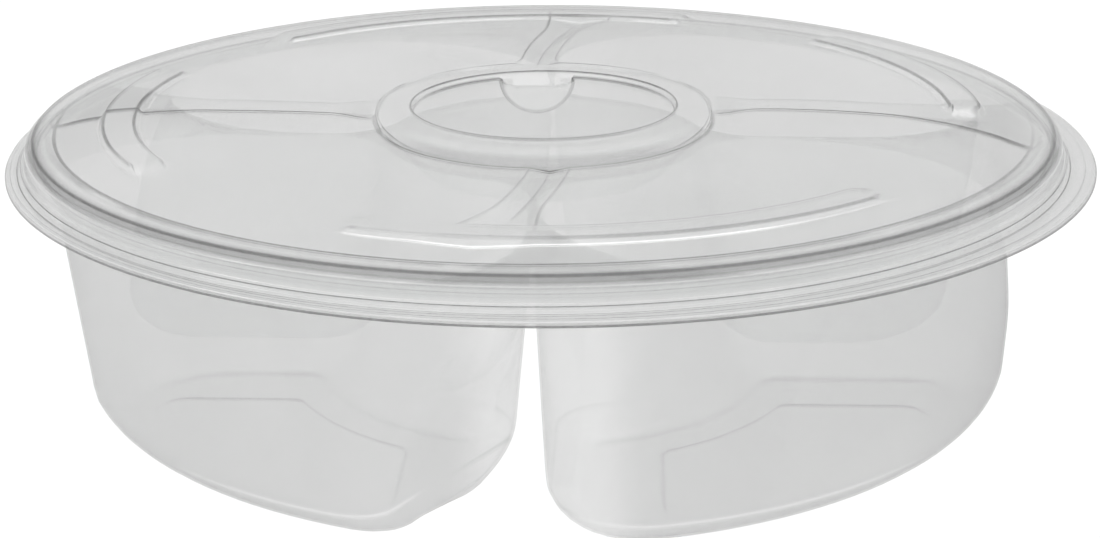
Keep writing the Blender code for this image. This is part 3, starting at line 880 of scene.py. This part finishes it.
def absorption_and_painted_folds(tree, position, path, sheet, slant, bend, glint, seed):
    """Light kept by one face with painted shade on ridges, a painted highlight (extra gloss) in
    creases, and the fade of faces further back.
    """
    facing = node(tree, 'ShaderNodeLayerWeight', (-1100, 300), Blend=0.5)
    cosine = calc(tree, 'SUBTRACT', (-900, 300), 1.0, facing.outputs["Facing"])
    cosine = calc(tree, 'MAXIMUM', (-750, 300), cosine, 0.02)
    cosine = calc(tree, 'POWER', (-650, 300), cosine, slant)
    painted_fold_attr = node(tree, 'ShaderNodeAttribute', (-1100, 100))
    painted_fold_attr.attribute_name = "bend"
    # the sheet's thickness wanders slowly between 0.75 and 1.25
    cloud = node(tree, 'ShaderNodeTexNoise', (-1100, -80), Vector=position,
                 Scale=9.0 + seed, Detail=2.0, Roughness=0.5)
    uneven = calc(tree, 'MULTIPLY_ADD', (-900, -80), cloud.outputs["Fac"], 0.5, 0.75)
    # sheet gauge, which in places also carries painted shade and painted highlight
    gauge_and_painted_light_node = node(tree, 'ShaderNodeAttribute', (-1100, -200))
    gauge_and_painted_light_node.attribute_name = "gauge_and_painted_light"
    uneven = calc(tree, 'MULTIPLY', (-800, -60), uneven, gauge_and_painted_light_node.outputs["Fac"])
    base = calc(tree, 'MULTIPLY', (-700, 0), uneven, sheet)
    depth = calc(tree, 'DIVIDE', (-550, 200), base, cosine)
    # painted shade on ridges and painted highlight in creases, from the fold attribute
    ridge_shade = calc(tree, 'MAXIMUM', (-850, 100), painted_fold_attr.outputs["Fac"], 0.0)
    ridge_shade_depth = calc(tree, 'MULTIPLY', (-700, 100), ridge_shade, bend)
    crease_glint = calc(tree, 'MULTIPLY', (-850, 20), painted_fold_attr.outputs["Fac"], -glint)
    crease_glint = calc(tree, 'MAXIMUM', (-700, 20), crease_glint, 0.0)
    depth = calc(tree, 'ADD', (-400, 150), depth, ridge_shade_depth)
    # the faces further back count for less, so that stacked walls stay clear
    fade_depth = 1.6
    behind = calc(tree, 'MULTIPLY', (-700, 500), path.outputs["Transparent Depth"],
                  -1.0 / fade_depth)
    behind = calc(tree, 'EXPONENT', (-550, 500), behind)
    depth = calc(tree, 'MULTIPLY', (-320, 250), depth, behind)
    depth = calc(tree, 'MULTIPLY', (-250, 150), depth, -1.0)
    keep = calc(tree, 'EXPONENT', (-100, 150), depth)
    keep = calc(tree, 'MAXIMUM', (50, 150), keep, 0.12)
    return keep, crease_glint, behind


def clear_plastic(name, tint, sheet, slant, bend, glint, rough, wave, gloss, seed):
    """Thin clear sheet.

    Light goes straight through each face and loses more the flatter it meets the
    face; painted shade darkens tight ridges and a painted highlight brightens creases;
    the rest is a Fresnel gloss.
    sheet: absorption face on; slant: its growth at a slant; bend: painted shade on ridges;
    glint: painted highlight as extra gloss in creases; rough: roughness range; wave: bump
    height in metres; gloss: share of the Fresnel gloss; seed: shifts the noise scales.
    """
    material = bpy.data.materials.new(name)
    material.use_nodes = True
    tree = material.node_tree
    tree.nodes.clear()
    out = node(tree, 'ShaderNodeOutputMaterial', (1300, 0))
    position = node(tree, 'ShaderNodeTexCoord', (-1400, 0)).outputs["Object"]
    normal, haze = gloss_surface(tree, position, wave, rough, seed)
    path = node(tree, 'ShaderNodeLightPath', (-900, 500))
    keep, crease_glint, behind = absorption_and_painted_folds(tree, position, path, sheet, slant, bend, glint, seed)
    colour = node(tree, 'ShaderNodeMixRGB', (200, 150), Fac=1.0, Color1=(*tint, 1.0), Color2=keep)
    colour.blend_type = 'MULTIPLY'
    clear = node(tree, 'ShaderNodeBsdfTransparent', (450, 150), Color=colour.outputs["Color"])
    fresnel = node(tree, 'ShaderNodeFresnel', (200, -150), IOR=1.45, Normal=normal)
    share = calc(tree, 'MULTIPLY', (400, -100), fresnel.outputs["Fac"], gloss)
    share = calc(tree, 'ADD', (450, -80), share, crease_glint)
    share = calc(tree, 'MULTIPLY', (500, -50), share, behind)
    shine = node(tree, 'ShaderNodeBsdfGlossy', (450, -250), Color=(1.0, 1.0, 1.0, 1.0),
                 Roughness=haze, Normal=normal)
    mix = node(tree, 'ShaderNodeMixShader', (800, 0), share,
               clear.outputs["BSDF"], shine.outputs["BSDF"])
    # lamps and bounced light pass through
    either = calc(tree, 'MAXIMUM', (800, 400), path.outputs["Is Shadow Ray"],
                  path.outputs["Is Diffuse Ray"])
    through = node(tree, 'ShaderNodeBsdfTransparent', (800, 250),
                   Color=(0.995, 0.995, 0.995, 1.0))
    final = node(tree, 'ShaderNodeMixShader', (1050, 0), either,
                 mix.outputs["Shader"], through.outputs["BSDF"])
    tree.links.new(final.outputs["Shader"], out.inputs["Surface"])
    return material


def floor_material():
    """Matt near-white with a faint cloudiness."""
    material = bpy.data.materials.new("studio_floor")
    material.use_nodes = True
    tree = material.node_tree
    bsdf = tree.nodes["Principled BSDF"]
    coord = node(tree, 'ShaderNodeTexCoord', (-800, 0))
    cloud = node(tree, 'ShaderNodeTexNoise', (-600, 0), Vector=coord.outputs["Object"],
                 Scale=1.2, Detail=1.0)
    vary = node(tree, 'ShaderNodeMapRange', (-400, 0), Value=cloud.outputs["Fac"],
                To_Min=0.915, To_Max=0.925)
    tree.links.new(vary.outputs["Result"], bsdf.inputs["Base Color"])
    bsdf.inputs["Roughness"].default_value = 0.9
    bsdf.inputs["Specular IOR Level"].default_value = 0.0
    return material


# --------------------------------------------------------------------- pieces
TINT = (0.9992, 1.0, 0.9996)
tray_plastic = clear_plastic("tray_clear_plastic", tint=TINT, sheet=0.222, slant=0.24,
                             bend=0.60, glint=0.40, rough=(0.06, 0.14), wave=0.00005,
                             gloss=0.20, seed=1.0)
lid_plastic = clear_plastic("lid_clear_plastic", tint=TINT, sheet=0.150, slant=0.20,
                            bend=1.10, glint=0.42, rough=(0.08, 0.16), wave=0.00004,
                            gloss=0.34, seed=3.0)

tray = build_tray(tray_plastic)
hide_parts("compartment_tray")
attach(tray, "tray")

lid = build_lid(lid_plastic)
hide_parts("snap_lid")
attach(lid, "lid")

# ---------------------------------------------------------------------- stage
scene = bpy.context.scene
FLOOR_HALF = 6.0
FLOOR_Z = -0.0004
AIM = (0.0, 0.0, 0.05)            # what the softboxes point at


def build_floor():
    mesh = bpy.data.meshes.new("studio_floor")
    corners = [(x * FLOOR_HALF, y * FLOOR_HALF, 0)
               for x, y in ((-1, -1), (1, -1), (1, 1), (-1, 1))]
    mesh.from_pydata(corners, [], [(0, 1, 2, 3)])
    floor = bpy.data.objects.new("studio_floor", mesh)
    floor.location = (0.0, 0.0, FLOOR_Z)
    scene.collection.objects.link(floor)
    mesh.materials.append(floor_material())


def build_world():
    """Plain white, except that reflections see a room graded by height."""
    world = bpy.data.worlds.new("studio")
    scene.world = world
    world.use_nodes = True
    tree = world.node_tree
    tree.nodes.clear()
    out = node(tree, 'ShaderNodeOutputWorld', (800, 0))
    plain = node(tree, 'ShaderNodeBackground', (300, 150), Color=(1.0, 1.0, 1.0, 1.0),
                 Strength=1.0)
    room = node(tree, 'ShaderNodeBackground', (300, -50))
    coord = node(tree, 'ShaderNodeTexCoord', (-700, 0))
    split = node(tree, 'ShaderNodeSeparateXYZ', (-500, 0), Vector=coord.outputs["Generated"])
    ramp = node(tree, 'ShaderNodeValToRGB', (-300, 0), Fac=split.outputs["Z"])
    stops = ramp.color_ramp.elements
    for stop, place, grey in ((stops[0], 0.0, 0.80), (stops[1], 1.0, 1.0)):
        stop.position = place
        stop.color = (grey, grey, grey, 1)
    for place, grey in ((0.12, 0.70), (0.40, 0.68), (0.62, 0.80), (0.78, 0.95)):
        stops.new(place).color = (grey, grey, grey, 1)
    tree.links.new(ramp.outputs["Color"], room.inputs["Color"])
    path = node(tree, 'ShaderNodeLightPath', (0, 300))
    mix = node(tree, 'ShaderNodeMixShader', (600, 0), path.outputs["Is Glossy Ray"],
               plain.outputs["Background"], room.outputs["Background"])
    tree.links.new(mix.outputs["Shader"], out.inputs["Surface"])


def softbox(name, at, size, power):
    data = bpy.data.lights.new(name, 'AREA')
    data.shape = 'RECTANGLE'
    data.size, data.size_y = size
    data.energy = power
    obj = bpy.data.objects.new(name, data)
    obj.location = at
    direction = Vector(AIM) - Vector(at)
    obj.rotation_euler = direction.to_track_quat('-Z', 'Y').to_euler()
    scene.collection.objects.link(obj)
    obj.visible_camera = False


def build_camera():
    """A little over the rim, in front."""
    elevation = math.radians(19.147)
    roll = math.radians(-0.254)
    back = Vector((0.0, -math.cos(elevation), math.sin(elevation)))
    right = Vector((1.0, 0.0, 0.0))
    up = Vector((0.0, math.sin(elevation), math.cos(elevation)))
    rolled_right = right * math.cos(roll) + up * math.sin(roll)
    rolled_up = up * math.cos(roll) - right * math.sin(roll)
    # distance and shifts from the middle of the joint, in R
    offset = back * 4.0 + right * 0.0105 + up * -0.245
    place = Vector((AXIS_X, 0.0, FLANGE_Z)) + R * offset
    data = bpy.data.cameras.new("camera")
    data.sensor_width = 36.0
    data.sensor_fit = 'HORIZONTAL'
    data.lens = 69.4557818
    data.clip_start = 0.01
    data.clip_end = 50.0
    camera = bpy.data.objects.new("camera", data)
    rotation = Matrix((rolled_right, rolled_up, back)).transposed()
    camera.matrix_world = Matrix.Translation(place) @ rotation.to_4x4()
    scene.collection.objects.link(camera)
    scene.camera = camera


build_floor()
build_world()
softbox("softbox_top", at=(0.0, 0.35, 1.6), size=(1.6, 0.9), power=5.0)
softbox("softbox_left", at=(-1.7, -0.7, 0.9), size=(0.6, 1.1), power=1.6)
build_camera()

scene.view_settings.view_transform = 'Standard'
# many bounces, so that light gets through all the stacked sheets
scene.cycles.max_bounces = 40
scene.cycles.transmission_bounces = 40
scene.cycles.glossy_bounces = 10
scene.cycles.diffuse_bounces = 3
scene.cycles.transparent_max_bounces = 64
scene.cycles.caustics_reflective = False
scene.cycles.caustics_refractive = False
